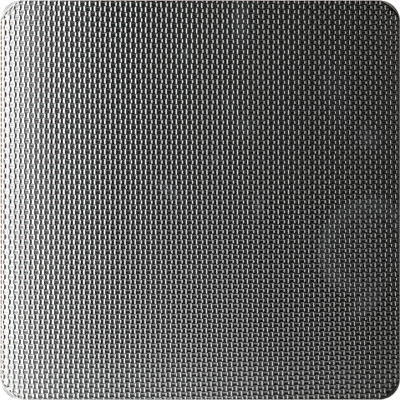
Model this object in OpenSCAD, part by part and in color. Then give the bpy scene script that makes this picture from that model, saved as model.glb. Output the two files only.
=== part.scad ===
// Square blank of textured stainless steel sheet.
// The solid is the envelope of the rolled sheet: its upper face is the plane over the crests
// of the texture, and its lower face is the plane that the back rests on.
// Origin at the centre of the back, +Z out of the textured face, +Y towards the upper edge.

/* [Blank] */
// Length of each side over the cut edges
side = 100; // [40:0.5:300]
// Radius of the four corners, seen from above
corner_r = 5.2; // [2.5:0.1:15]
// Thickness of the flat stock before the texture is rolled in
gauge = 0.9; // [0.8:0.05:2]
// Rise of the rolled texture's ribs over the stock on the front
texture_rise = 0.1; // [0.05:0.01:0.4]

/* [Cut edge] */
// Width of the band that the blanking die draws down along the front
roll_w = 0.6; // [0.4:0.05:1.5]
// Depth that this band falls by where it reaches the edge
roll_drop = 0.1; // [0.05:0.01:0.3]
// Radius that blends the drawn-down band into the cut side
edge_r = 0.15; // [0.05:0.01:0.2]
// Width of the small bevel left by deburring along the back
deburr = 0.1; // [0.05:0.01:0.2]

/* [Hidden] */
$fn = 96;

thickness = gauge + texture_rise;
straight = side - 2 * corner_r;

// The drawn-down band is an arc that leaves the front face level and falls by roll_drop over roll_w.
roll_r = (roll_w ^ 2 + roll_drop ^ 2) / (2 * roll_drop);
roll_centre = [corner_r - roll_w, thickness - roll_r];

// The edge arc touches the cut side and lies inside the roll arc, tangent to it.
edge_x = corner_r - edge_r;
edge_centre = [edge_x, roll_centre.y + sqrt((roll_r - edge_r) ^ 2 - (edge_x - roll_centre.x) ^ 2)];
blend_angle = atan2(edge_centre.y - roll_centre.y, edge_centre.x - roll_centre.x);

// Outline of half the sheet's section, from a corner's centre line (x = 0) out to the cut side.
// Its upper edge is the level face, then the roll arc, then the edge arc down to the side.
module edge_section() {
    difference() {
        intersection() {
            polygon([
                [0, 0],
                [corner_r - deburr, 0],
                [corner_r, deburr],
                [corner_r, thickness],
                [0, thickness],
            ]);
            union() {
                square([roll_centre.x, thickness]);
                translate(roll_centre) circle(roll_r);
            }
        }
        edge_waste();
    }
}

// What the edge arc takes off the sharp corner between the roll arc and the cut side.
module edge_waste() {
    reach = 4 * edge_r;
    difference() {
        translate(edge_centre)
            polygon([
                [0, 0],
                [reach, 0],
                [reach, reach],
                [reach * cos(blend_angle), reach * sin(blend_angle)],
            ]);
        translate(edge_centre) circle(edge_r);
    }
}

// One side of the square, as a straight run of the edge section.
module side_band() {
    translate([straight / 2, straight / 2, 0])
        rotate([90, 0, 0])
            linear_extrude(straight) edge_section();
}

// One corner, as a quarter turn of the same section about the corner's centre.
module corner_band() {
    translate([straight / 2, straight / 2, 0])
        rotate_extrude(angle = 90) edge_section();
}

// The whole blank: the flat middle, with a side band and a corner band in each quarter.
module textured_sheet() {
    color("silver") union() {
        translate([-straight / 2, -straight / 2, 0])
            cube([straight, straight, thickness]);
        for (quarter = [0:3])
            rotate(90 * quarter) {
                side_band();
                corner_band();
            }
    }
}

textured_sheet();
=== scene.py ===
"""Looks of a square blank of textured stainless steel sheet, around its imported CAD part.

The CAD solid is the envelope of the rolled sheet. Here its face gets the rolled texture itself: a
basket weave of short sunk bars, level and upright by turns, with narrow ribs between them. The face
is worked out as whole numpy arrays and cut into strips, each a closed piece of one mesh.
"""

import logging
import math
from dataclasses import dataclass, field
from enum import Enum

import bpy
import numpy as np
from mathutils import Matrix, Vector


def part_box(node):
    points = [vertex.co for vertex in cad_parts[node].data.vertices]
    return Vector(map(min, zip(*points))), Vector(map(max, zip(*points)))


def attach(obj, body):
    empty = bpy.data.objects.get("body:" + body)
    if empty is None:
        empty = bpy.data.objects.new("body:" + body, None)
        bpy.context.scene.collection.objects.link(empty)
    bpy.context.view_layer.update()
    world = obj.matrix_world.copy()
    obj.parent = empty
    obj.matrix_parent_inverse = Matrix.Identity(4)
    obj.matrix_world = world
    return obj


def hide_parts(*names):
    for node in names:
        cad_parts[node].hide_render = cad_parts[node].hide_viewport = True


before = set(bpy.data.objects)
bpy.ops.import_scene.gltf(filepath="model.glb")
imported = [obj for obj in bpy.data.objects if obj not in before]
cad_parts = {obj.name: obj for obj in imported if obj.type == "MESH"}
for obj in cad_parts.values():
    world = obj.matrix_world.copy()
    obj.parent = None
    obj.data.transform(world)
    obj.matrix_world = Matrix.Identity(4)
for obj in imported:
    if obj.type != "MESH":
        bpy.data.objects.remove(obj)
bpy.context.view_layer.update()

NODE = "textured_sheet"
BODY = "root"
MM = 0.001
# Least length that is divided by.
TINY = 1e-9
# Decimals to which two grid lines of the weave have to agree to count as one.
LINE_DIGITS = 4
Link = bpy.types.NodeSocket
Entry = Link | float
log = logging.getLogger("textured_sheet")


class Side(Enum):
    """What a stretch of a strip's outline borders on."""

    RIM = "rim"
    SEAM = "seam"


class Tint(Enum):
    """Colours of the lamps' light."""

    PLAIN = (1.0, 1.0, 1.0)
    MILK = (1.0, 0.99, 0.98)
    PEARL = (1.0, 0.99, 1.0)
    IVORY = (1.0, 0.97, 0.93)
    CREAM = (1.0, 0.95, 0.9)
    SKY = (0.94, 0.98, 1.0)
    ICE = (0.97, 1.0, 1.0)
    STRAW = (1.0, 1.0, 0.96)
    SHELL = (1.0, 0.98, 0.92)
    WAX = (1.0, 0.97, 0.9)
    HONEY = (1.0, 0.95, 0.86)
    AMBER = (1.0, 0.93, 0.83)
    BEIGE = (1.0, 0.92, 0.84)


def smooth_step(low: float | np.ndarray, high: float | np.ndarray, value: np.ndarray) -> np.ndarray:
    """Rises from 0 at low to 1 at high, level at both ends.

    Args:
        low: Value at which the result leaves 0.
        high: Value at which the result reaches 1.
        value: Values to weigh.

    Returns:
        t squared times (3 - 2 t), where t is the share of the way from low to high.
    """
    share = np.clip((value - low) / (high - low), 0.0, 1.0)
    return share * share * (3.0 - 2.0 * share)


def rounded_inset(from_x: np.ndarray, from_y: np.ndarray, radius: float) -> np.ndarray:
    """Distance in from the outline of a rectangle with round corners.

    Args:
        from_x: Distances in from the nearer of its left and right sides.
        from_y: Distances in from the nearer of its lower and upper sides.
        radius: Radius of its corners.

    Returns:
        The radius less the length of the part of (radius - from_x, radius - from_y) above 0, less
        the larger of the two where both are below 0.
    """
    over_x, over_y = radius - from_x, radius - from_y
    outside = np.hypot(np.maximum(over_x, 0.0), np.maximum(over_y, 0.0))
    return radius - outside - np.minimum(np.maximum(over_x, over_y), 0.0)


@dataclass(frozen=True)
class Blank:
    """The cut blank without its texture.

    Lengths are in millimetres. The bend shares say how many corner radii past an arc's centre a
    grid starts to bend and follows the arc.
    """

    side: float
    thickness: float
    corner_radius: float = 5.2
    side_band: float = 0.4
    side_drop: float = 0.05
    corner_band: float = 1.2
    corner_drop: float = 0.16
    edge_radius: float = 0.25
    edge_start: float = math.radians(17.0)
    deburr: float = 0.1
    bend_shares: tuple[float, float] = (0.2, 0.75)

    @classmethod
    def from_frame(cls) -> "Blank":
        """Takes the side and the thickness from the CAD node's box."""
        low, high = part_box(NODE)
        return cls(side=(high.x - low.x) / MM, thickness=(high.z - low.z) / MM)

    @property
    def half(self) -> float:
        """Half the blank's side."""
        return self.side / 2

    @property
    def corner_centre(self) -> float:
        """Distance from the blank's middle to a corner arc's centre, along each axis."""
        return self.half - self.corner_radius

    @property
    def blend_inset(self) -> float:
        """Distance in from the outline at which the edge arc takes over from the face."""
        return self.edge_radius * (1.0 - math.sin(self.edge_start))

    def offsets(self, x: np.ndarray, y: np.ndarray) -> tuple[np.ndarray, np.ndarray]:
        """How far points lie past the lines through the corner arcs' centres, 0 where they don't."""
        over_x, over_y = np.abs(x) - self.corner_centre, np.abs(y) - self.corner_centre
        return np.maximum(over_x, 0.0), np.maximum(over_y, 0.0)

    def inset(self, x: np.ndarray, y: np.ndarray) -> np.ndarray:
        """Distance of points in from the blank's outline."""
        return rounded_inset(self.half - np.abs(x), self.half - np.abs(y), self.corner_radius)

    def cornerness(self, x: np.ndarray, y: np.ndarray) -> np.ndarray:
        """Share from 0 along the straight sides to 1 halfway round a corner: 2ab / (aa + bb)."""
        over_x, over_y = self.offsets(x, y)
        return 2 * over_x * over_y / np.maximum(over_x**2 + over_y**2, TINY)

    def fall(self, x: np.ndarray, y: np.ndarray) -> np.ndarray:
        """Depth of the drawn-down band under the plane of the face.

        Args:
            x: Places across the sheet.
            y: Places up the sheet.

        Returns:
            The drop at the outline times the square of (1 - inset / width), and 0 past the band.
            Both the width and the drop grow from the sides towards the middle of each corner.
        """
        share = self.cornerness(x, y)
        width = self.side_band + (self.corner_band - self.side_band) * share
        drop = self.side_drop + (self.corner_drop - self.side_drop) * share
        return drop * np.clip(1.0 - self.inset(x, y) / width, 0.0, 1.0) ** 2

    def bend(self, across: np.ndarray, up: np.ndarray) -> tuple[np.ndarray, np.ndarray]:
        """Bends a square grid's corners round, and leaves the rest of it in place.

        Args:
            across: Grid coordinates from -half to half.
            up: Grid coordinates of the same shape.

        Returns:
            Places x and y. Past a corner's centre, a point whose larger offset is m and whose
            offsets have the ratio q goes to distance m from the centre, at q times 45 degrees from
            the nearer axis, so each outer square ring becomes an arc. Inner ones keep their place,
            with an even change between.
        """
        over_x, over_y = self.offsets(across, up)
        larger, smaller = np.maximum(over_x, over_y), np.minimum(over_x, over_y)
        turn = math.pi / 4 * smaller / np.maximum(larger, TINY)
        start, end = (part * self.corner_radius for part in self.bend_shares)
        share = smooth_step(start, end, larger)
        along = larger + (larger * np.cos(turn) - larger) * share
        aside = smaller + (larger * np.sin(turn) - smaller) * share
        wide = over_x >= over_y
        inner_x = np.minimum(np.abs(across), self.corner_centre)
        inner_y = np.minimum(np.abs(up), self.corner_centre)
        x = np.sign(across) * (inner_x + np.where(wide, along, aside))
        y = np.sign(up) * (inner_y + np.where(wide, aside, along))
        return x, y

    def outward(self, x: np.ndarray, y: np.ndarray) -> np.ndarray:
        """Finds which way the outline faces.

        Args:
            x: Places across the sheet, near its outline.
            y: Places up the sheet.

        Returns:
            Level unit directions out of the outline, one row each: the offsets past the corner
            arcs' centres, with their signs, over their length.
        """
        over_x, over_y = self.offsets(x, y)
        out = np.stack([over_x * np.sign(x), over_y * np.sign(y)], 1)
        return out / np.maximum(np.linalg.norm(out, axis=1, keepdims=True), TINY)


@dataclass(frozen=True)
class Weave:
    """The rolled basket weave: sunk bars, level and upright by turns, between narrow ribs.

    Lengths are in millimetres. Bar sizes and insets are shares of one repeat. Each knot of the wall
    is an inset from a bar's outline and the slope there, as a share of the steepest. The fades are
    the insets from the sheet's outline, in millimetres, between which the texture comes in.
    """

    repeat_x: float = 2.542
    repeat_y: float = 2.494
    origin_x: float = 0.036
    origin_y: float = -0.538
    drift_span: float = 50.0
    drift_x: tuple[float, ...] = (0.152, 0.121, 0.007, -0.06, -0.13)
    drift_y: tuple[float, ...] = (0.02, -0.11, 0.19, -0.77, 0.62)
    steepest: float = math.radians(16.2)
    bar_half_length: float = 0.3
    bar_half_width: float = 0.2
    corner_round: float = 0.05
    wall: tuple[tuple[float, float], ...] = (
        (0.0, 0.0),
        (0.025, 0.35),
        (0.075, 1.0),
        (0.12, 0.16),
        (0.2, 0.0),
    )
    side_fade: tuple[float, float] = (0.1, 0.45)
    corner_fade: tuple[float, float] = (1.15, 1.45)

    @property
    def repeat(self) -> float:
        """Mean repeat, which turns shares of it into lengths."""
        return (self.repeat_x + self.repeat_y) / 2

    def line_shares(self) -> np.ndarray:
        """Finds the places of the grid's lines in one repeat.

        Returns:
            The bends in the walls of both kinds of bar, as shares of the repeat. One bar's side is
            level with the next bar's end, so there are bends on both sides of it. A crest and a
            foot that add up to the difference of the bars' half sizes share their lines.
        """
        crest, foot, floor = (inset for inset, _ in self.wall[1:4])
        short, long = self.bar_half_width, self.bar_half_length
        bends = [edge + step for edge in (short, long) for step in (-foot, -crest, crest, foot)]
        bends += [short - floor, long + floor]
        kept = np.array(sorted({round(bend, LINE_DIGITS) for bend in bends}))
        return np.concatenate([kept, 1.0 - kept[::-1]])

    def lines(self, reach: float, repeat: float, origin: float) -> np.ndarray:
        """Lays the grid's lines over the sheet.

        Args:
            reach: Largest distance of a line from the sheet's middle.
            repeat: The texture's repeat along this axis.
            origin: Place of a level bar's middle along this axis.

        Returns:
            Every place origin + (n + share) * repeat within reach of the middle, in order.
        """
        first = math.floor((-reach - origin) / repeat) - 1
        last = math.ceil((reach - origin) / repeat) + 1
        repeats = np.arange(first, last + 1)[:, None]
        places = (origin + (repeats + self.line_shares()[None, :]) * repeat).ravel()
        return places[np.abs(places) < reach]

    def drift(self, x: np.ndarray, y: np.ndarray) -> tuple[np.ndarray, np.ndarray]:
        """How far the weave strays from an even lattice, as rolling and blanking drew the sheet.

        Args:
            x: Places across the sheet.
            y: Places up the sheet.

        Returns:
            Shifts along x and along y. With a and b for x and y over the drift span, each is the
            sum of a, b, aa, ab and bb times their coefficients.
        """
        a, b = x / self.drift_span, y / self.drift_span
        terms = (a, b, a * a, a * b, b * b)
        across = sum(weight * term for weight, term in zip(self.drift_x, terms))
        up = sum(weight * term for weight, term in zip(self.drift_y, terms))
        return across, up

    def depth(self, inset: np.ndarray) -> np.ndarray:
        """Depth of a bar at a distance in from its outline.

        Args:
            inset: Distances in from the outline, as shares of the repeat.

        Returns:
            The wall's slope summed up from the outline. Between two of its knots the slope runs in
            a straight line, so each stretch adds t * s + t * t / 2 * (change of s / length).
        """
        total = np.zeros(np.shape(inset))
        for (start, slope), (end, next_slope) in zip(self.wall[:-1], self.wall[1:]):
            run = np.clip(inset - start, 0.0, end - start)
            total += run * slope + run**2 / 2 * (next_slope - slope) / (end - start)
        return total * self.repeat * math.tan(self.steepest)

    def sink(self, x: np.ndarray, y: np.ndarray) -> np.ndarray:
        """Depth of the texture under the plane over its ribs.

        Args:
            x: Places across the sheet.
            y: Places up the sheet.

        Returns:
            The depth of the bar that a point lies in, by its distance in from the bar's outline, a
            rectangle with round corners. Level bars have their middles at (0, 0) and (1/2, 1/2) of
            a repeat, upright ones at (1/2, 0) and (0, 1/2).
        """
        across, up = self.drift(x, y)
        u = (x - self.origin_x - across) / self.repeat_x
        v = (y - self.origin_y - up) / self.repeat_y
        inset = np.zeros(np.shape(x))
        short, long = self.bar_half_width, self.bar_half_length
        bars = (
            (0.0, 0.0, long, short),
            (0.5, 0.5, long, short),
            (0.5, 0.0, short, long),
            (0.0, 0.5, short, long),
        )
        for at_u, at_v, half_u, half_v in bars:
            from_u = half_u - np.abs((u - at_u + 0.5) % 1.0 - 0.5)
            from_v = half_v - np.abs((v - at_v + 0.5) % 1.0 - 0.5)
            inset = np.maximum(inset, rounded_inset(from_u, from_v, self.corner_round))
        return self.depth(inset)


@dataclass
class StripMesh:
    """One strip's vertices, faces and corner normals, gathered before they go into a mesh."""

    points: np.ndarray
    quads: np.ndarray
    back: np.ndarray
    corner_normals: np.ndarray
    cut_edge: np.ndarray


@dataclass
class TexturedSheet:
    """The sheet as strips side by side, each a closed shell with the texture on its face.

    Lengths are in millimetres. The weave's grid lines are laid to the drift reach past the band's
    first inset, and are then settled in the margin, to end the margin gap short of it.
    """

    blank: Blank
    weave: Weave
    strips: int = 6
    band_insets: tuple[float, ...] = (0.45, 0.32, 0.2)
    margin: float = 1.2
    margin_gap: float = 0.06
    drift_reach: float = 1.7
    drift_rounds: int = 3
    edge_steps: int = 3
    slope_step: float = 0.002
    pieces: list[bpy.types.Object] = field(default_factory=list)

    def height(self, x: np.ndarray, y: np.ndarray) -> np.ndarray:
        """Height of the textured face.

        Args:
            x: Places across the sheet.
            y: Places up the sheet.

        Returns:
            The thickness less the band's fall, less the weave's depth times a share that falls to
            0 towards the outline, where the drawn-down band irons the texture out.
        """
        corner = self.blank.cornerness(x, y)
        low, high = (s + (c - s) * corner for s, c in zip(self.weave.side_fade, self.weave.corner_fade))
        share = smooth_step(low, high, self.blank.inset(x, y))
        return self.blank.thickness - self.blank.fall(x, y) - self.weave.sink(x, y) * share

    def face_normals(self, x: np.ndarray, y: np.ndarray) -> np.ndarray:
        """Works out which way the face points.

        Args:
            x: Places across the sheet.
            y: Places up the sheet.

        Returns:
            Unit normals along a last axis: (-slope along x, -slope along y, 1) over its length,
            with slopes from the heights one slope step to either side.
        """
        step = self.slope_step
        slope_x = (self.height(x + step, y) - self.height(x - step, y)) / (2 * step)
        slope_y = (self.height(x, y + step) - self.height(x, y - step)) / (2 * step)
        normal = np.stack([-slope_x, -slope_y, np.ones_like(slope_x)], -1)
        return normal / np.linalg.norm(normal, axis=-1, keepdims=True)

    def axis_lines(self, repeat: float, origin: float) -> np.ndarray:
        """Lays the grid's lines along one axis.

        Args:
            repeat: The texture's repeat along it.
            origin: Place of a level bar's middle along it.

        Returns:
            The weave's own lines, with the drawn-down band's at each end.
        """
        band = self.blank.half - np.array([*self.band_insets, self.blank.blend_inset])
        inner = self.weave.lines(band[0] + self.drift_reach, repeat, origin)
        return np.concatenate([-band[::-1], inner, band])

    def seams(self) -> np.ndarray:
        """Finds places for the seams.

        Returns:
            The mirror lines of the weave that are nearest to even cuts, as on them its slope across
            is 0 and no seam shows in the shading.
        """
        wanted = np.linspace(-self.blank.half, self.blank.half, self.strips + 1)[1:-1]
        step = self.weave.repeat_x / 2
        return self.weave.origin_x + np.round((wanted - self.weave.origin_x) / step) * step

    def drifted(self, even_x: np.ndarray, even_y: np.ndarray) -> tuple[np.ndarray, np.ndarray]:
        """Moves an even grid so that its lines stay on the weave's as they drift.

        Args:
            even_x: The whole sheet's even grid across, lines along its first axis.
            even_y: The same grid's places up the sheet.

        Returns:
            The moved grid. The drift is that of the place moved to, found by going round a few
            times.
        """
        x, y = even_x, even_y
        for _ in range(self.drift_rounds):
            across, up = self.weave.drift(x, y)
            x, y = even_x + across, even_y + up
        return self.settled(x, even_x), self.settled(y.T, even_y.T).T

    def settled(self, moved: np.ndarray, even: np.ndarray) -> np.ndarray:
        """Settles moved grid lines against the band along the rim.

        Args:
            moved: Moved places, lines along the first axis.
            even: The places before the move.

        Returns:
            The moved places in the middle. In the margin the lines are drawn together or apart
            evenly, so that the last one ends short of the band, whose own lines don't move.
        """
        count = len(self.band_insets) + 1
        end = self.blank.half - self.band_insets[0] - self.margin_gap
        start = self.blank.half - self.margin
        high = start + (end - start) * (moved - start) / (moved[-count - 1] - start)
        low = -start - (end - start) * (-start - moved) / (-start - moved[count])
        placed = np.where(moved > start, high, np.where(moved < -start, low, moved))
        placed[:count], placed[-count:] = even[:count], even[-count:]
        return placed

    def rim_profile(self) -> tuple[np.ndarray, np.ndarray, np.ndarray]:
        """Works out the rim's section, from the blend point round the edge arc to the back.

        Returns:
            Insets of its rings, their heights below the face (negative) or, for the last two,
            above the back, and for each band between two rings the tilt of its normal above level
            at its upper and lower ring, in radians.
        """
        blank = self.blank
        turns = np.linspace(math.pi / 2 - blank.edge_start, 0.0, self.edge_steps + 1)
        insets = blank.edge_radius * (1.0 - np.cos(turns[1:]))
        heights = blank.edge_radius * (np.sin(turns[1:]) - math.sin(turns[0]))
        insets = np.concatenate([insets, [0.0, blank.deburr]])
        heights = np.concatenate([heights, [blank.deburr, 0.0]])
        tilts = [(turns[k], turns[k + 1]) for k in range(self.edge_steps)]
        tilts += [(0.0, 0.0), (-math.pi / 4, -math.pi / 4)]
        return insets, heights, np.array(tilts)

    def outline(self, across: int, up: int) -> tuple[np.ndarray, np.ndarray]:
        """Follows the loop of a grid's border vertices, counter-clockwise from above.

        Args:
            across: Number of grid lines across the strip.
            up: Number of grid lines up the strip.

        Returns:
            Vertex numbers, and for the edge that leaves each of them the side it is on: 0 for the
            lower rim, 1 for the right end, 2 for the upper rim and 3 for the left end.
        """
        numbers = np.arange(across * up).reshape(across, up)
        stretches = (numbers[:-1, 0], numbers[-1, :-1], numbers[:0:-1, -1], numbers[0, :0:-1])
        sides = np.concatenate([np.full(len(s), k) for k, s in enumerate(stretches)])
        return np.concatenate(stretches), sides

    def strip(self, x: np.ndarray, y: np.ndarray, ends: tuple[Side, Side]) -> StripMesh:
        """Builds one strip.

        Args:
            x: Places of its grid points across, with the lines from left to right on the first axis.
            y: Places of the same points up the sheet.
            ends: What its left and right ends border on.

        Returns:
            The closed shell: the face on the grid, rings down the rim or straight down a seam from
            the grid's border, and one flat face for the back.
        """
        top = np.stack([x, y, self.height(x, y)], -1).reshape(-1, 3)
        top_normals = self.face_normals(x, y).reshape(-1, 3)
        numbers = np.arange(len(top)).reshape(x.shape)
        face = np.stack([numbers[:-1, :-1], numbers[1:, :-1], numbers[1:, 1:], numbers[:-1, 1:]], -1)
        face = face.reshape(-1, 4)

        loop, sides = self.outline(*x.shape)
        left_seam, right_seam = (end is Side.SEAM for end in ends)
        on_seam = ((sides == 1) & right_seam) | ((sides == 3) & left_seam)
        inside = on_seam & np.roll(on_seam, 1) & (sides == np.roll(sides, 1))
        start = top[loop]
        out = np.where(inside[:, None], 0.0, self.blank.outward(start[:, 0], start[:, 1]))
        out[~inside & (on_seam | np.roll(on_seam, 1)), 0] = 0.0
        seam_normal = np.zeros((len(loop), 3))
        seam_normal[:, 0] = np.where(sides == 1, 1.0, -1.0)

        insets, heights, tilts = self.rim_profile()
        points, quads, normals = [top], [face], [top_normals[face]]
        upper = loop
        for ring, (inset, height) in enumerate(zip(insets, heights)):
            lower = len(top) + ring * len(loop) + np.arange(len(loop))
            place = np.empty((len(loop), 3))
            place[:, :2] = start[:, :2] + out * (self.blank.blend_inset - inset)
            level = start[:, 2] + height if ring < self.edge_steps else height
            place[:, 2] = np.where(inside, start[:, 2] * (1 - (ring + 1) / len(insets)), level)
            points.append(place)
            band = np.stack([upper, lower, np.roll(lower, -1), np.roll(upper, -1)], 1)
            high, low = (
                np.column_stack([out * math.cos(tilt), np.full(len(loop), math.sin(tilt))])
                for tilt in tilts[ring]
            )
            corners = np.stack([high, low, np.roll(low, -1, 0), np.roll(high, -1, 0)], 1)
            corners = np.where(on_seam[:, None, None], seam_normal[:, None, :], corners)
            quads.append(band)
            normals.append(corners)
            upper = lower
        back = upper[::-1]
        normals.append(np.tile([0.0, 0.0, -1.0], (len(back), 1)))
        cut_edge = np.concatenate([np.zeros(len(top)), np.ones(len(loop) * len(insets))])
        return StripMesh(
            np.concatenate(points) * MM,
            np.concatenate(quads),
            back,
            np.concatenate([n.reshape(-1, 3) for n in normals]),
            cut_edge,
        )

    def to_object(self, name: str, data: StripMesh) -> bpy.types.Object:
        """Puts a strip's arrays into a mesh and links an object for it.

        Args:
            name: Name of the piece.
            data: The strip's arrays.

        Returns:
            The new object, at the origin.
        """
        mesh = bpy.data.meshes.new(name)
        corners = np.concatenate([data.quads.ravel(), data.back])
        faces = len(data.quads) + 1
        starts = np.arange(faces) * 4
        mesh.vertices.add(len(data.points))
        mesh.loops.add(len(corners))
        mesh.polygons.add(faces)
        mesh.vertices.foreach_set("co", data.points.ravel())
        mesh.loops.foreach_set("vertex_index", corners.astype(np.int32))
        mesh.polygons.foreach_set("loop_start", starts.astype(np.int32))
        mesh.polygons.foreach_set("use_smooth", np.ones(faces, bool))
        mesh.update(calc_edges=True)
        mesh.validate()
        mesh.normals_split_custom_set(data.corner_normals)
        layer = mesh.attributes.new("cut_edge", "FLOAT", "POINT")
        layer.data.foreach_set("value", data.cut_edge.astype(np.float32))
        obj = bpy.data.objects.new(name, mesh)
        bpy.context.scene.collection.objects.link(obj)
        return obj

    def build(self) -> list[bpy.types.Object]:
        """Builds every strip and makes it stand for the CAD node.

        Returns:
            The strips' objects, from left to right.
        """
        band = len(self.band_insets) + 1
        lines_x = self.axis_lines(self.weave.repeat_x, self.weave.origin_x)
        lines_y = self.axis_lines(self.weave.repeat_y, self.weave.origin_y)
        inner = np.sort(np.concatenate([lines_x[band:-band], self.seams()]))
        cuts = [0, *(band + np.searchsorted(inner, self.seams())), len(inner) + 2 * band - 1]
        lines_x = np.concatenate([lines_x[:band], inner, lines_x[-band:]])
        x, y = self.blank.bend(*self.drifted(*np.meshgrid(lines_x, lines_y, indexing="ij")))
        for number, (left, right) in enumerate(zip(cuts[:-1], cuts[1:]), 1):
            ends = (
                Side.RIM if number == 1 else Side.SEAM,
                Side.RIM if number == self.strips else Side.SEAM,
            )
            own = slice(left, right + 1)
            piece = self.to_object(f"textured_sheet_strip_{number}", self.strip(x[own], y[own], ends))
            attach(piece, BODY)
            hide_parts(NODE)
            self.pieces.append(piece)
            log.info("%s: %d faces", piece.name, len(piece.data.polygons))
        return self.pieces

    def dress(self, material: bpy.types.Material) -> None:
        """Gives every strip the material."""
        for piece in self.pieces:
            piece.data.materials.append(material)


@dataclass
class Nodes:
    """Short ways to add shader nodes to a tree."""

    tree: bpy.types.NodeTree

    def add(self, kind: str, **values: object) -> bpy.types.Node:
        """Adds a node.

        Args:
            kind: The node's type name without the leading ShaderNode.
            **values: Node properties by name, or input values by name with spaces as underscores.

        Returns:
            The node.
        """
        node = self.tree.nodes.new("ShaderNode" + kind)
        for name, value in values.items():
            if hasattr(node, name):
                setattr(node, name, value)
            else:
                self.feed(node.inputs[name.replace("_", " ")], value)
        return node

    def feed(self, socket: Link, value: object) -> None:
        """Fills a node's input.

        Args:
            socket: The input.
            value: An output to link to it, or its new value.
        """
        if isinstance(value, Link):
            self.tree.links.new(value, socket)
        else:
            socket.default_value = value

    def math(self, operation: str, first: Entry, second: Entry = 0.0) -> Link:
        """Adds a math node.

        Args:
            operation: Name of the operation.
            first: Its first value.
            second: Its second value, for operations that take two.

        Returns:
            The result.
        """
        node = self.tree.nodes.new("ShaderNodeMath")
        node.operation = operation
        for socket, value in zip(node.inputs, (first, second)):
            self.feed(socket, value)
        return node.outputs[0]

    def ramp(self, value: Entry, low: float, high: float, start: Entry, end: Entry) -> Link:
        """Maps a value smoothly from one range to another.

        Args:
            value: The value.
            low: Value up to which the result is start.
            high: Value from which the result is end.
            start: Result at low.
            end: Result at high.

        Returns:
            start + (end - start) * (3 t t - 2 t t t), where t is the share of the way up.
        """
        node = self.tree.nodes.new("ShaderNodeMapRange")
        node.interpolation_type = "SMOOTHSTEP"
        for socket, entry in zip(node.inputs, (value, low, high, start, end)):
            self.feed(socket, entry)
        return node.outputs[0]

    def mixed(self, share: Entry, first: Entry, second: Entry) -> Link:
        """Blends two values.

        Args:
            share: How much of the second is in the result, from 0 to 1.
            first: Value where share is 0.
            second: Value where share is 1.

        Returns:
            The blend.
        """
        node = self.tree.nodes.new("ShaderNodeMix")
        for socket, value in ((0, share), (2, first), (3, second)):
            self.feed(node.inputs[socket], value)
        return node.outputs[0]

    def mixed_colour(self, share: Entry, first: Link | tuple, second: Link | tuple) -> Link:
        """Blends two colours, each a link or three numbers.

        Args:
            share: How much of the second is in the result, from 0 to 1.
            first: Colour where share is 0.
            second: Colour where share is 1.

        Returns:
            The blend.
        """
        node = self.tree.nodes.new("ShaderNodeMix")
        node.data_type = "RGBA"
        for socket, value in ((0, share), (6, first), (7, second)):
            self.feed(node.inputs[socket], (*value, 1.0) if isinstance(value, tuple) else value)
        return node.outputs[2]

    def noise(self, place: Link, scale: float, detail: float) -> Link:
        """Adds noise.

        Args:
            place: Coordinates that it is worked out at.
            scale: Its scale, per metre.
            detail: How many finer layers it has.

        Returns:
            Its value, which is about 0.5 on average.
        """
        node = self.add("TexNoise", Scale=scale, Detail=detail)
        self.feed(node.inputs["Vector"], place)
        return node.outputs[0]


@dataclass(frozen=True)
class Smear:
    """A soft greasy mark on the face.

    Lengths are in millimetres and its turn is in degrees. Its core is the share of its reach that
    has the full weight.
    """

    x: float
    y: float
    across: float
    up: float
    turn: float = 0.0
    weight: float = 1.0
    core: float = 0.2

    def local(self, nodes: Nodes, place: Link) -> Link:
        """Measures places from the mark's middle.

        Args:
            nodes: Tree to add to.
            place: Object coordinates.

        Returns:
            The places in shares of the mark's reach each way.
        """
        node = nodes.add("Mapping", vector_type="TEXTURE")
        node.inputs["Location"].default_value = (self.x * MM, self.y * MM, 0.0)
        node.inputs["Rotation"].default_value = (0.0, 0.0, math.radians(self.turn))
        node.inputs["Scale"].default_value = (self.across * MM, self.up * MM, 1.0)
        nodes.feed(node.inputs["Vector"], place)
        return node.outputs[0]

    def mask(self, nodes: Nodes, place: Link) -> Link:
        """Works out the mark's strength.

        Args:
            nodes: Tree to add to.
            place: Object coordinates.

        Returns:
            Its weight in the middle, falling softly to 0 at its reach.
        """
        length = nodes.add("VectorMath", operation="LENGTH")
        nodes.feed(length.inputs[0], self.local(nodes, place))
        return nodes.ramp(length.outputs["Value"], self.core, 1.0, self.weight, 0.0)


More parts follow.
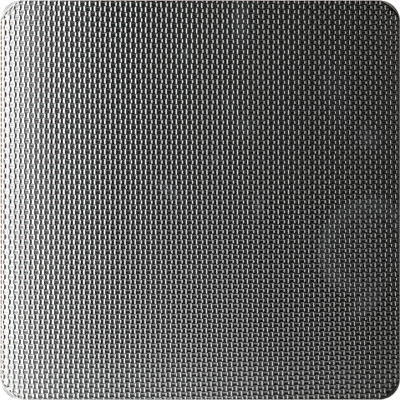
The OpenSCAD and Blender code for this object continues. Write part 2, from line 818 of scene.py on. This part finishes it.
@dataclass(frozen=True)
class FingerMark:
    """A finger's mark: bowed ridges of grease, heavier on one side.

    The ridge spacing is in millimetres. The hollow, the rim and the side are ranges of places in
    shares of the patch's reach, over which the mark's strength changes.
    """

    patch: Smear
    ridge_spacing: float = 0.45
    ridge_range: tuple[float, float] = (-0.6, 0.6)
    valley_share: float = 0.35
    wander: float = 0.12
    wander_per_metre: float = 150.0
    hollow: tuple[float, float] = (0.65, 0.95)
    hollow_share: float = 0.25
    rim: tuple[float, float] = (1.0, 1.2)
    side: tuple[float, float] = (-0.3, 0.8)
    side_share: float = 0.35

    def mask(self, nodes: Nodes, place: Link) -> Link:
        """Works out the mark's strength.

        Args:
            nodes: Tree to add to.
            place: Object coordinates.

        Returns:
            The cosine of the distance from the mark's middle over the ridge spacing, where the
            distance wanders with a broad noise, within a ring that is heavier at one side.
        """
        local = self.patch.local(nodes, place)
        length = nodes.add("VectorMath", operation="LENGTH")
        nodes.feed(length.inputs[0], local)
        drift = nodes.math("MULTIPLY", nodes.noise(place, self.wander_per_metre, 1.0), self.wander)
        distance = nodes.math("ADD", length.outputs["Value"], drift)
        turns = 2 * math.pi * self.patch.up / self.ridge_spacing
        wave = nodes.math("COSINE", nodes.math("MULTIPLY", distance, turns))
        ridges = nodes.ramp(wave, *self.ridge_range, self.valley_share, 1.0)
        outer = nodes.ramp(distance, *self.rim, 1.0, 0.0)
        hollow = nodes.ramp(distance, *self.hollow, self.hollow_share, 1.0)
        split = nodes.add("SeparateXYZ")
        nodes.feed(split.inputs[0], local)
        weight = self.patch.weight
        side = nodes.ramp(split.outputs["X"], *self.side, weight, self.side_share * weight)
        ring = nodes.math("MULTIPLY", nodes.math("MULTIPLY", outer, hollow), side)
        return nodes.math("MULTIPLY", ring, ridges)


@dataclass(frozen=True)
class RolledSteel:
    """Bright stainless steel as it comes from the texturing roll, handled since.

    The ranges are those of a noise's value over which a share changes, and the back's is one of
    heights in millimetres. A scratch direction is its turn in degrees and the noise's scale along
    it, per metre.
    """

    colour: tuple[float, float, float] = (0.6, 0.6, 0.6)
    # The cut side's darker, brown-tinted colour: painted shade and a painted warm reflection on the
    # rim.
    edge_colour_painted_shade_and_reflection: tuple[float, float, float] = (0.45, 0.42, 0.38)
    back_colour: tuple[float, float, float] = (0.57, 0.57, 0.57)
    gloss_roughness: float = 0.08
    edge_roughness: float = 0.2
    back_roughness: float = 0.3
    grain_per_metre: float = 4000.0
    grain_range: tuple[float, float] = (0.3, 0.7)
    grain_share: float = 0.015
    dull_share: float = 0.05
    back_range: tuple[float, float] = (0.01, 0.05)
    scratch_share: float = 0.1
    scratch_directions: tuple[tuple[float, float], ...] = ((24.0, 60.0), (-57.0, 45.0))
    scratch_across_per_metre: float = 2600.0
    scratch_range: tuple[float, float] = (0.74, 0.8)
    grease_roughness: float = 0.5
    grease_ior: float = 1.7
    grease_tint: tuple[float, float, float] = (0.9, 0.95, 1.0)
    grease_per_metre: float = 900.0
    grease_range: tuple[float, float] = (0.3, 0.65)
    grease_least: float = 0.3
    smears: tuple[Smear, ...] = (
        Smear(10.0, 44.0, 2.8, 8.5, 0.0, 1.0),
        Smear(-3.8, 36.2, 2.0, 2.5, -20.0, 0.85),
        Smear(7.0, 23.8, 2.0, 3.8, 10.0, 0.6),
        Smear(10.8, 18.2, 3.2, 3.0, 0.0, 0.75),
        Smear(3.8, 10.0, 3.5, 1.8, 15.0, 0.5),
        Smear(14.3, -1.3, 1.8, 4.0, 0.0, 0.8),
        Smear(-8.0, 2.5, 6.5, 2.0, -40.0, 1.0),
        Smear(-34.5, 10.5, 2.2, 2.2, 0.0, 0.5),
        Smear(41.8, 15.5, 3.4, 4.6, 35.0, 0.85),
        Smear(33.8, 27.5, 4.5, 15.0, 12.0, 0.3),
        Smear(-2.5, -18.0, 2.4, 1.6, 20.0, 0.6),
        Smear(-25.0, -16.0, 3.2, 3.2, 0.0, 0.35),
        Smear(-21.0, -30.0, 2.4, 1.2, -15.0, 0.5),
        Smear(41.5, -25.5, 7.5, 3.4, 48.0, 0.8),
    )
    finger: FingerMark = FingerMark(Smear(41.0, -11.5, 10.5, 12.0, -35.0, 1.0))

    def grease(self, nodes: Nodes, place: Link) -> Link:
        """Works out the cover of grease.

        Args:
            nodes: Tree to add to.
            place: Object coordinates.

        Returns:
            The strongest of the marks at each place, with the smears broken up by noise.
        """
        cover = self.finger.mask(nodes, place)
        speckle = nodes.noise(place, self.grease_per_metre, 3.0)
        patchy = nodes.ramp(speckle, *self.grease_range, self.grease_least, 1.0)
        for smear in self.smears:
            broken = nodes.math("MULTIPLY", smear.mask(nodes, place), patchy)
            cover = nodes.math("MAXIMUM", cover, broken)
        return cover

    def scratches(self, nodes: Nodes, place: Link) -> Link:
        """Works out where the fine handling scratches are.

        Args:
            nodes: Tree to add to.
            place: Object coordinates.

        Returns:
            1 on the scratches and 0 beside them: the crests of noises drawn out along each
            direction.
        """
        strongest = 0.0
        for turn, along in self.scratch_directions:
            node = nodes.add("Mapping", vector_type="POINT")
            node.inputs["Rotation"].default_value = (0.0, 0.0, math.radians(turn))
            node.inputs["Scale"].default_value = (along, self.scratch_across_per_metre, 1.0)
            nodes.feed(node.inputs["Vector"], place)
            lines = nodes.ramp(nodes.noise(node.outputs[0], 1.0, 1.0), *self.scratch_range, 0.0, 1.0)
            strongest = nodes.math("MAXIMUM", strongest, lines)
        return strongest

    def grained(self, nodes: Nodes, grain: Link, roughness: float, spread: float) -> Link:
        """Returns a roughness that the grain varies by a spread either way."""
        return nodes.ramp(grain, *self.grain_range, roughness - spread, roughness + spread)

    def material(self) -> bpy.types.Material:
        """Builds the material.

        Returns:
            Metal with fine roll grain and scratches in its roughness and grease as a rough coat. The
            cut side is duller, by the strips' cut_edge values, and so is the plain mill back, by
            its height. The cut side's darker, brown-tinted colour is painted shade and a painted
            warm reflection on the rim.
        """
        material = bpy.data.materials.new("rolled_stainless_steel")
        material.use_nodes = True
        tree = material.node_tree
        tree.nodes.clear()
        nodes = Nodes(tree)
        place = nodes.add("TexCoord").outputs["Object"]
        split = nodes.add("SeparateXYZ")
        nodes.feed(split.inputs[0], place)
        back = nodes.ramp(split.outputs["Z"], *(height * MM for height in self.back_range), 1.0, 0.0)
        edge = nodes.add("Attribute", attribute_name="cut_edge").outputs["Fac"]
        grain = nodes.noise(place, self.grain_per_metre, 2.0)
        roughness = self.grained(nodes, grain, self.gloss_roughness, self.grain_share)
        scratched = nodes.math("MULTIPLY", self.scratches(nodes, place), self.scratch_share)
        roughness = nodes.math("ADD", roughness, scratched)
        # Darker, brown-tinted colour on the cut side and rim: painted shade and a painted warm
        # reflection.
        colour = nodes.mixed_colour(edge, self.colour, self.edge_colour_painted_shade_and_reflection)
        colour = nodes.mixed_colour(back, colour, self.back_colour)
        for share, value in ((edge, self.edge_roughness), (back, self.back_roughness)):
            dull = self.grained(nodes, grain, value, self.dull_share)
            roughness = nodes.mixed(share, roughness, dull)
        on_face = nodes.math("SUBTRACT", 1.0, nodes.math("MAXIMUM", edge, back))
        cover = nodes.math("MULTIPLY", self.grease(nodes, place), on_face)
        surface = nodes.add(
            "BsdfPrincipled",
            Metallic=1.0,
            Coat_Roughness=self.grease_roughness,
            Coat_IOR=self.grease_ior,
        )
        surface.inputs["Coat Tint"].default_value = (*self.grease_tint, 1.0)
        nodes.feed(surface.inputs["Base Color"], colour)
        nodes.feed(surface.inputs["Roughness"], roughness)
        nodes.feed(surface.inputs["Coat Weight"], cover)
        output = nodes.add("OutputMaterial")
        tree.links.new(surface.outputs[0], output.inputs["Surface"])
        return material


@dataclass(frozen=True)
class Panel:
    """A soft lamp that hangs level, far over the sheet. Lengths are in millimetres."""

    name: str
    across: tuple[float, float]
    up: tuple[float, float]
    glow: float
    tint: Tint = Tint.PLAIN
    height: float = 4000.0

    @classmethod
    def over(
        cls,
        name: str,
        left: tuple[float, float],
        near: tuple[float, float],
        glow: float,
        tint: Tint = Tint.PLAIN,
    ) -> "Panel":
        """Places a panel by the angles at which the sheet's middle sees its edges.

        Args:
            name: The lamp's name.
            left: Angles to the left of straight up, least first, in degrees.
            near: Angles towards the sheet's lower edge, least first, in degrees.
            glow: How bright its face is, where 1 shows as white.
            tint: Colour of its light.

        Returns:
            The panel whose edges lie at the height times the tangent of each angle.
        """
        across = tuple(-cls.height * math.tan(math.radians(angle)) for angle in reversed(left))
        up = tuple(-cls.height * math.tan(math.radians(angle)) for angle in reversed(near))
        return cls(name, across, up, glow, tint)

    def light(self) -> bpy.types.Object:
        """Adds the lamp.

        Returns:
            Its object. The lamp's power is its glow times pi times its area.
        """
        data = bpy.data.lights.new(self.name, "AREA")
        data.shape = "RECTANGLE"
        data.size = (self.across[1] - self.across[0]) * MM
        data.size_y = (self.up[1] - self.up[0]) * MM
        data.energy = self.glow * math.pi * data.size * data.size_y
        data.color = self.tint.value
        obj = bpy.data.objects.new(self.name, data)
        obj.location = Vector((sum(self.across) / 2, sum(self.up) / 2, self.height)) * MM
        obj.visible_camera = False
        bpy.context.scene.collection.objects.link(obj)
        return obj


@dataclass
class Studio:
    """Floor, surround, lamps and camera.

    Lengths are in millimetres. The crop is how much of the sheet's side falls outside the frame.
    """

    blank: Blank
    camera_height: float = 260.0
    camera_x: float = -0.06
    crop: float = 0.1
    sensor: float = 36.0
    clip: tuple[float, float] = (1.0, 8000.0)
    floor_radius: float = 2500.0
    floor_sides: int = 64
    wall_height: float = 900.0
    cove_steps: int = 9
    floor_colour: tuple[float, float, float] = (0.86, 0.86, 0.85)
    floor_glow: float = 0.9
    world_grey: tuple[float, float, float] = (0.003, 0.003, 0.003)
    panels: tuple[Panel, ...] = (
        Panel.over("left_start", (11, 16), (-30, 30), 2.0, Tint.MILK),
        Panel.over("left_panel", (16, 24.5), (-30, 30), 1.0, Tint.PEARL),
        Panel.over("left_back", (11, 24.5), (-60, -30), 2.0, Tint.PEARL),
        Panel.over("left_near", (11, 24.5), (30, 60), 2.4, Tint.PEARL),
        Panel.over("far_left", (24.5, 34), (-24, 24), 2.0, Tint.PEARL),
        Panel.over("far_left_back", (24.5, 34), (-60, -24), 0.95, Tint.IVORY),
        Panel.over("far_left_near", (24.5, 34), (24, 60), 0.9, Tint.IVORY),
        Panel.over("farthest_left", (34, 46), (-46, 46), 3.2, Tint.PEARL),
        Panel.over("left_corner_back", (34, 46), (-60, -46), 0.6, Tint.CREAM),
        Panel.over("left_corner_near", (34, 46), (46, 60), 0.6, Tint.CREAM),
        Panel.over("fringe", (8.5, 11), (-16, 9.8), 0.1, Tint.SKY),
        Panel.over("fringe_inner", (6, 8.5), (-16, 9.8), 0.05, Tint.SKY),
        Panel.over("fringe_back", (8, 11), (-60, -16), 0.04),
        Panel.over("fringe_dim", (2, 6), (-30, 9.8), 0.017),
        Panel.over("fringe_low", (6, 11), (9.8, 20), 0.38, Tint.SKY),
        Panel.over("fringe_near", (6, 11), (20, 31), 0.42, Tint.ICE),
        Panel.over("fringe_far_near", (6, 11), (31, 60), 0.8, Tint.ICE),
        Panel.over("near_left_low", (-4, 6), (9.8, 20), 0.18, Tint.ICE),
        Panel.over("near_left", (-4, 6), (20, 31), 0.27, Tint.ICE),
        Panel.over("far_near_left", (-4, 6), (31, 60), 0.95, Tint.ICE),
        Panel.over("near_middle_low", (-12, -4), (9.8, 20), 0.075),
        Panel.over("near_middle", (-12, -4), (20, 31), 0.14),
        Panel.over("far_near_middle", (-12, -4), (31, 60), 0.55),
        Panel.over("near_right_low", (-25, -12), (9.8, 20), 0.024, Tint.SHELL),
        Panel.over("near_right", (-25, -12), (20, 31), 0.05, Tint.WAX),
        Panel.over("far_near_right", (-25, -12), (31, 60), 0.2, Tint.STRAW),
        Panel.over("right_wall", (-60, -26), (-26, 26), 0.11, Tint.HONEY),
        Panel.over("right_wall_back", (-60, -26), (-60, -26), 0.04, Tint.HONEY),
        Panel.over("right_wall_near", (-60, -26), (26, 60), 0.04, Tint.HONEY),
        Panel.over("middle_dim", (-3, 2), (-26, 9.8), 0.01),
        Panel.over("back_dim", (-11.5, 2), (-56, -26), 0.045, Tint.HONEY),
        Panel.over("back_right", (-26, -13), (-44, -21), 0.34, Tint.AMBER),
        Panel.over("wall_left", (46, 70), (-60, 60), 0.5, Tint.BEIGE),
        Panel.over("wall_right", (-70, -60), (-60, 60), 0.1, Tint.BEIGE),
        Panel.over("wall_back", (-60, 46), (-70, -60), 0.5, Tint.BEIGE),
        Panel.over("wall_near", (-60, 46), (60, 70), 0.3, Tint.BEIGE),
    )

    def surround(self) -> bpy.types.Object:
        """Builds the floor and the low wall far round it as one turned surface.

        Returns:
            The object. A profile out along the floor, round a quarter arc and up the wall is turned
            about the vertical axis: ring k has radius r(k) and height z(k).
        """
        turns = np.linspace(0.0, math.pi / 2, self.cove_steps)
        cove = self.wall_height / 2
        curve = self.floor_radius - cove + cove * np.sin(turns)
        radii = np.concatenate([[0.0], curve, [self.floor_radius]])
        heights = np.concatenate([[0.0], cove - cove * np.cos(turns), [self.wall_height]])
        around = np.linspace(0.0, 2 * math.pi, self.floor_sides, endpoint=False)
        x = radii[1:, None] * np.cos(around)[None, :]
        y = radii[1:, None] * np.sin(around)[None, :]
        z = np.broadcast_to(heights[1:, None], x.shape)
        points = np.concatenate([[[0.0, 0.0, 0.0]], np.stack([x, y, z], -1).reshape(-1, 3)]) * MM
        ring = 1 + np.arange(x.size).reshape(x.shape)
        after = np.roll(ring, -1, 1)
        quads = np.stack([ring[:-1], ring[1:], after[1:], after[:-1]], -1).reshape(-1, 4)
        middle = np.stack([np.zeros_like(ring[0]), ring[0], after[0]], -1)
        mesh = bpy.data.meshes.new("floor")
        mesh.from_pydata(points.tolist(), [], middle.tolist() + quads.tolist())
        mesh.polygons.foreach_set("use_smooth", np.ones(len(mesh.polygons), bool))
        obj = bpy.data.objects.new("floor", mesh)
        bpy.context.scene.collection.objects.link(obj)
        mesh.materials.append(self.floor_material())
        return obj

    def floor_material(self) -> bpy.types.Material:
        """Builds the floor's material.

        Returns:
            A pale matt finish, with a glow of its own that only the camera and mirroring or clear
            surfaces see, so that it shows as white.
        """
        material = bpy.data.materials.new("pale_floor")
        material.use_nodes = True
        tree = material.node_tree
        tree.nodes.clear()
        nodes = Nodes(tree)
        path = nodes.add("LightPath")
        seen = nodes.math("MAXIMUM", path.outputs["Is Camera Ray"], path.outputs["Is Glossy Ray"])
        seen = nodes.math("MAXIMUM", seen, path.outputs["Is Transmission Ray"])
        glow = nodes.math("MULTIPLY", seen, self.floor_glow)
        matt = nodes.add("BsdfDiffuse", Color=(*self.floor_colour, 1.0))
        light = nodes.add("Emission", Color=(*self.floor_colour, 1.0), Strength=glow)
        both = nodes.add("AddShader")
        tree.links.new(matt.outputs[0], both.inputs[0])
        tree.links.new(light.outputs[0], both.inputs[1])
        output = nodes.add("OutputMaterial")
        tree.links.new(both.outputs[0], output.inputs["Surface"])
        return material

    def dim_world(self) -> None:
        """Gives the world an even dim grey, which the metal mirrors between the lamps."""
        world = bpy.data.worlds.new("dim_world")
        world.use_nodes = True
        background = world.node_tree.nodes["Background"]
        background.inputs["Color"].default_value = (*self.world_grey, 1.0)
        bpy.context.scene.world = world

    def camera(self) -> bpy.types.Object:
        """Adds the camera over the sheet.

        Returns:
            Its object. The lens is the sensor over the side less the crop, times the distance to
            the face, so that the sheet fills the frame.
        """
        data = bpy.data.cameras.new("camera")
        data.sensor_width = self.sensor
        distance = self.camera_height - self.blank.thickness
        data.lens = self.sensor / (self.blank.side - self.crop) * distance
        data.clip_start, data.clip_end = (reach * MM for reach in self.clip)
        obj = bpy.data.objects.new("camera", data)
        obj.location = Vector((self.camera_x, 0.0, self.camera_height)) * MM
        bpy.context.scene.collection.objects.link(obj)
        bpy.context.scene.camera = obj
        return obj

    def set_up(self) -> None:
        """Adds everything round the sheet and sets the plain view transform."""
        self.surround()
        self.dim_world()
        for panel in self.panels:
            panel.light()
        self.camera()
        bpy.context.scene.view_settings.view_transform = "Standard"


def main() -> None:
    """Builds the sheet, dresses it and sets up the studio."""
    logging.basicConfig(level=logging.INFO, format="%(name)s %(message)s")
    blank = Blank.from_frame()
    sheet = TexturedSheet(blank, Weave())
    sheet.build()
    sheet.dress(RolledSteel().material())
    Studio(blank).set_up()


if __name__ == "__main__":
    main()
